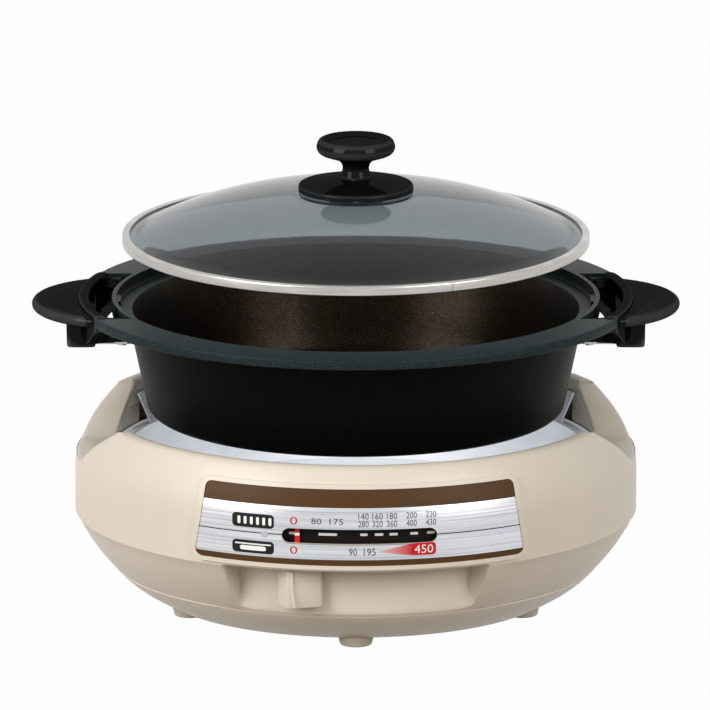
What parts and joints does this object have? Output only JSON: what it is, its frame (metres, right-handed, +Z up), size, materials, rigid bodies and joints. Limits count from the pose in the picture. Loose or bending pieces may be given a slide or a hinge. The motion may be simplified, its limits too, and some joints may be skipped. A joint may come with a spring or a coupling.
{
  "type": "electric skillet",
  "caption": "Electric skillet with a round heating base, front heat lever and scale, lift-out deep pan with side handles, and a banded glass lid with a mushroom knob",
  "frame": {"origin": "on the table under the middle of the base", "axes": "+X to the right-hand handle, +Y to the back with the power inlet, +Z up; the control panel faces -Y"},
  "size_m": [0.4534, 0.3944, 0.3336],
  "materials": {
    "housing_plastic": "satin moulded beige plastic",
    "foot_plastic": "matt moulded beige plastic",
    "liner_aluminium": "bright spun sheet",
    "sensor_aluminium": "turned",
    "heater_steel": "heat-darkened sheath",
    "screw_steel": "zinc-plated",
    "insulator_ceramic": "unglazed",
    "lead_cover": "heat-proof sleeve",
    "black_plastic": "moulded",
    "panel_aluminium": "brushed, printed",
    "scale_plastic": "printed scale",
    "lens_plastic": "clear moulded lens",
    "lamp_glass": "neon lamp",
    "pointer_plastic": "red moulded",
    "pan_coating": "cast aluminium with a black non-stick coat",
    "handle_phenolic": "polished black phenolic moulding",
    "lid_glass": "clear toughened",
    "band_steel": "satin rolled band",
    "gasket_silicone": "moulded ring"
  },
  "bodies": {
    "base": {"base_shell": "housing_plastic", "bottom_cover": "housing_plastic", "feet": "foot_plastic", "cover_screws": "screw_steel", "reflector_dish": "liner_aluminium", "heat_guard": "liner_aluminium", "heat_shield": "screw_steel", "dish_screws": "screw_steel", "heating_element": "heater_steel", "heater_pins": "screw_steel", "sensor_holder": "screw_steel", "sensor_spring": "screw_steel", "thermostat": "insulator_ceramic", "thermal_fuse": "screw_steel", "terminal_block": "insulator_ceramic", "supply_leads": "lead_cover", "inlet_socket": "black_plastic", "inlet_pins": "screw_steel", "control_panel": "panel_aluminium", "scale_strip": "scale_plastic", "pilot_lens": "lens_plastic", "pilot_lamp": "lamp_glass"},
    "heat_lever": {"thermostat_spindle": "screw_steel", "lever_arm": "screw_steel", "pointer": "pointer_plastic", "lever_grip": "housing_plastic"},
    "sensor": {"sensor_cap": "sensor_aluminium"},
    "pan": {"deep_pan": "pan_coating", "handle_left": "handle_phenolic", "handle_right": "handle_phenolic", "strap_left": "screw_steel", "strap_right": "screw_steel", "handle_screws": "screw_steel"},
    "lid": {"lid_glass": "lid_glass", "lid_band": "band_steel", "knob_base": "handle_phenolic", "knob_cap": "handle_phenolic", "knob_gasket": "gasket_silicone", "knob_washer": "screw_steel", "knob_screw": "screw_steel"}
  },
  "joints": [
    {"name": "pan_lift", "type": "slide", "parent": "base", "child": "pan", "axis": [0, 0, 1], "range_m": [-0.074, 0.05]},
    {"name": "lid_lift", "type": "slide", "parent": "pan", "child": "lid", "axis": [0, 0, 1], "range_m": [-0.046, 0.05]},
    {"name": "lever_swing", "type": "hinge", "parent": "base", "child": "heat_lever", "pos_m": [0, 0, 0.033], "axis": [0, 0, 1], "range_deg": [0, 25.4]},
    {"name": "sensor_press", "type": "slide", "parent": "base", "child": "sensor", "axis": [0, 0, 1], "range_m": [-0.003, 0], "stiffness_N_per_m": 400, "springref_m": 0.004, "deforming": ["sensor_spring"]}
  ]
}
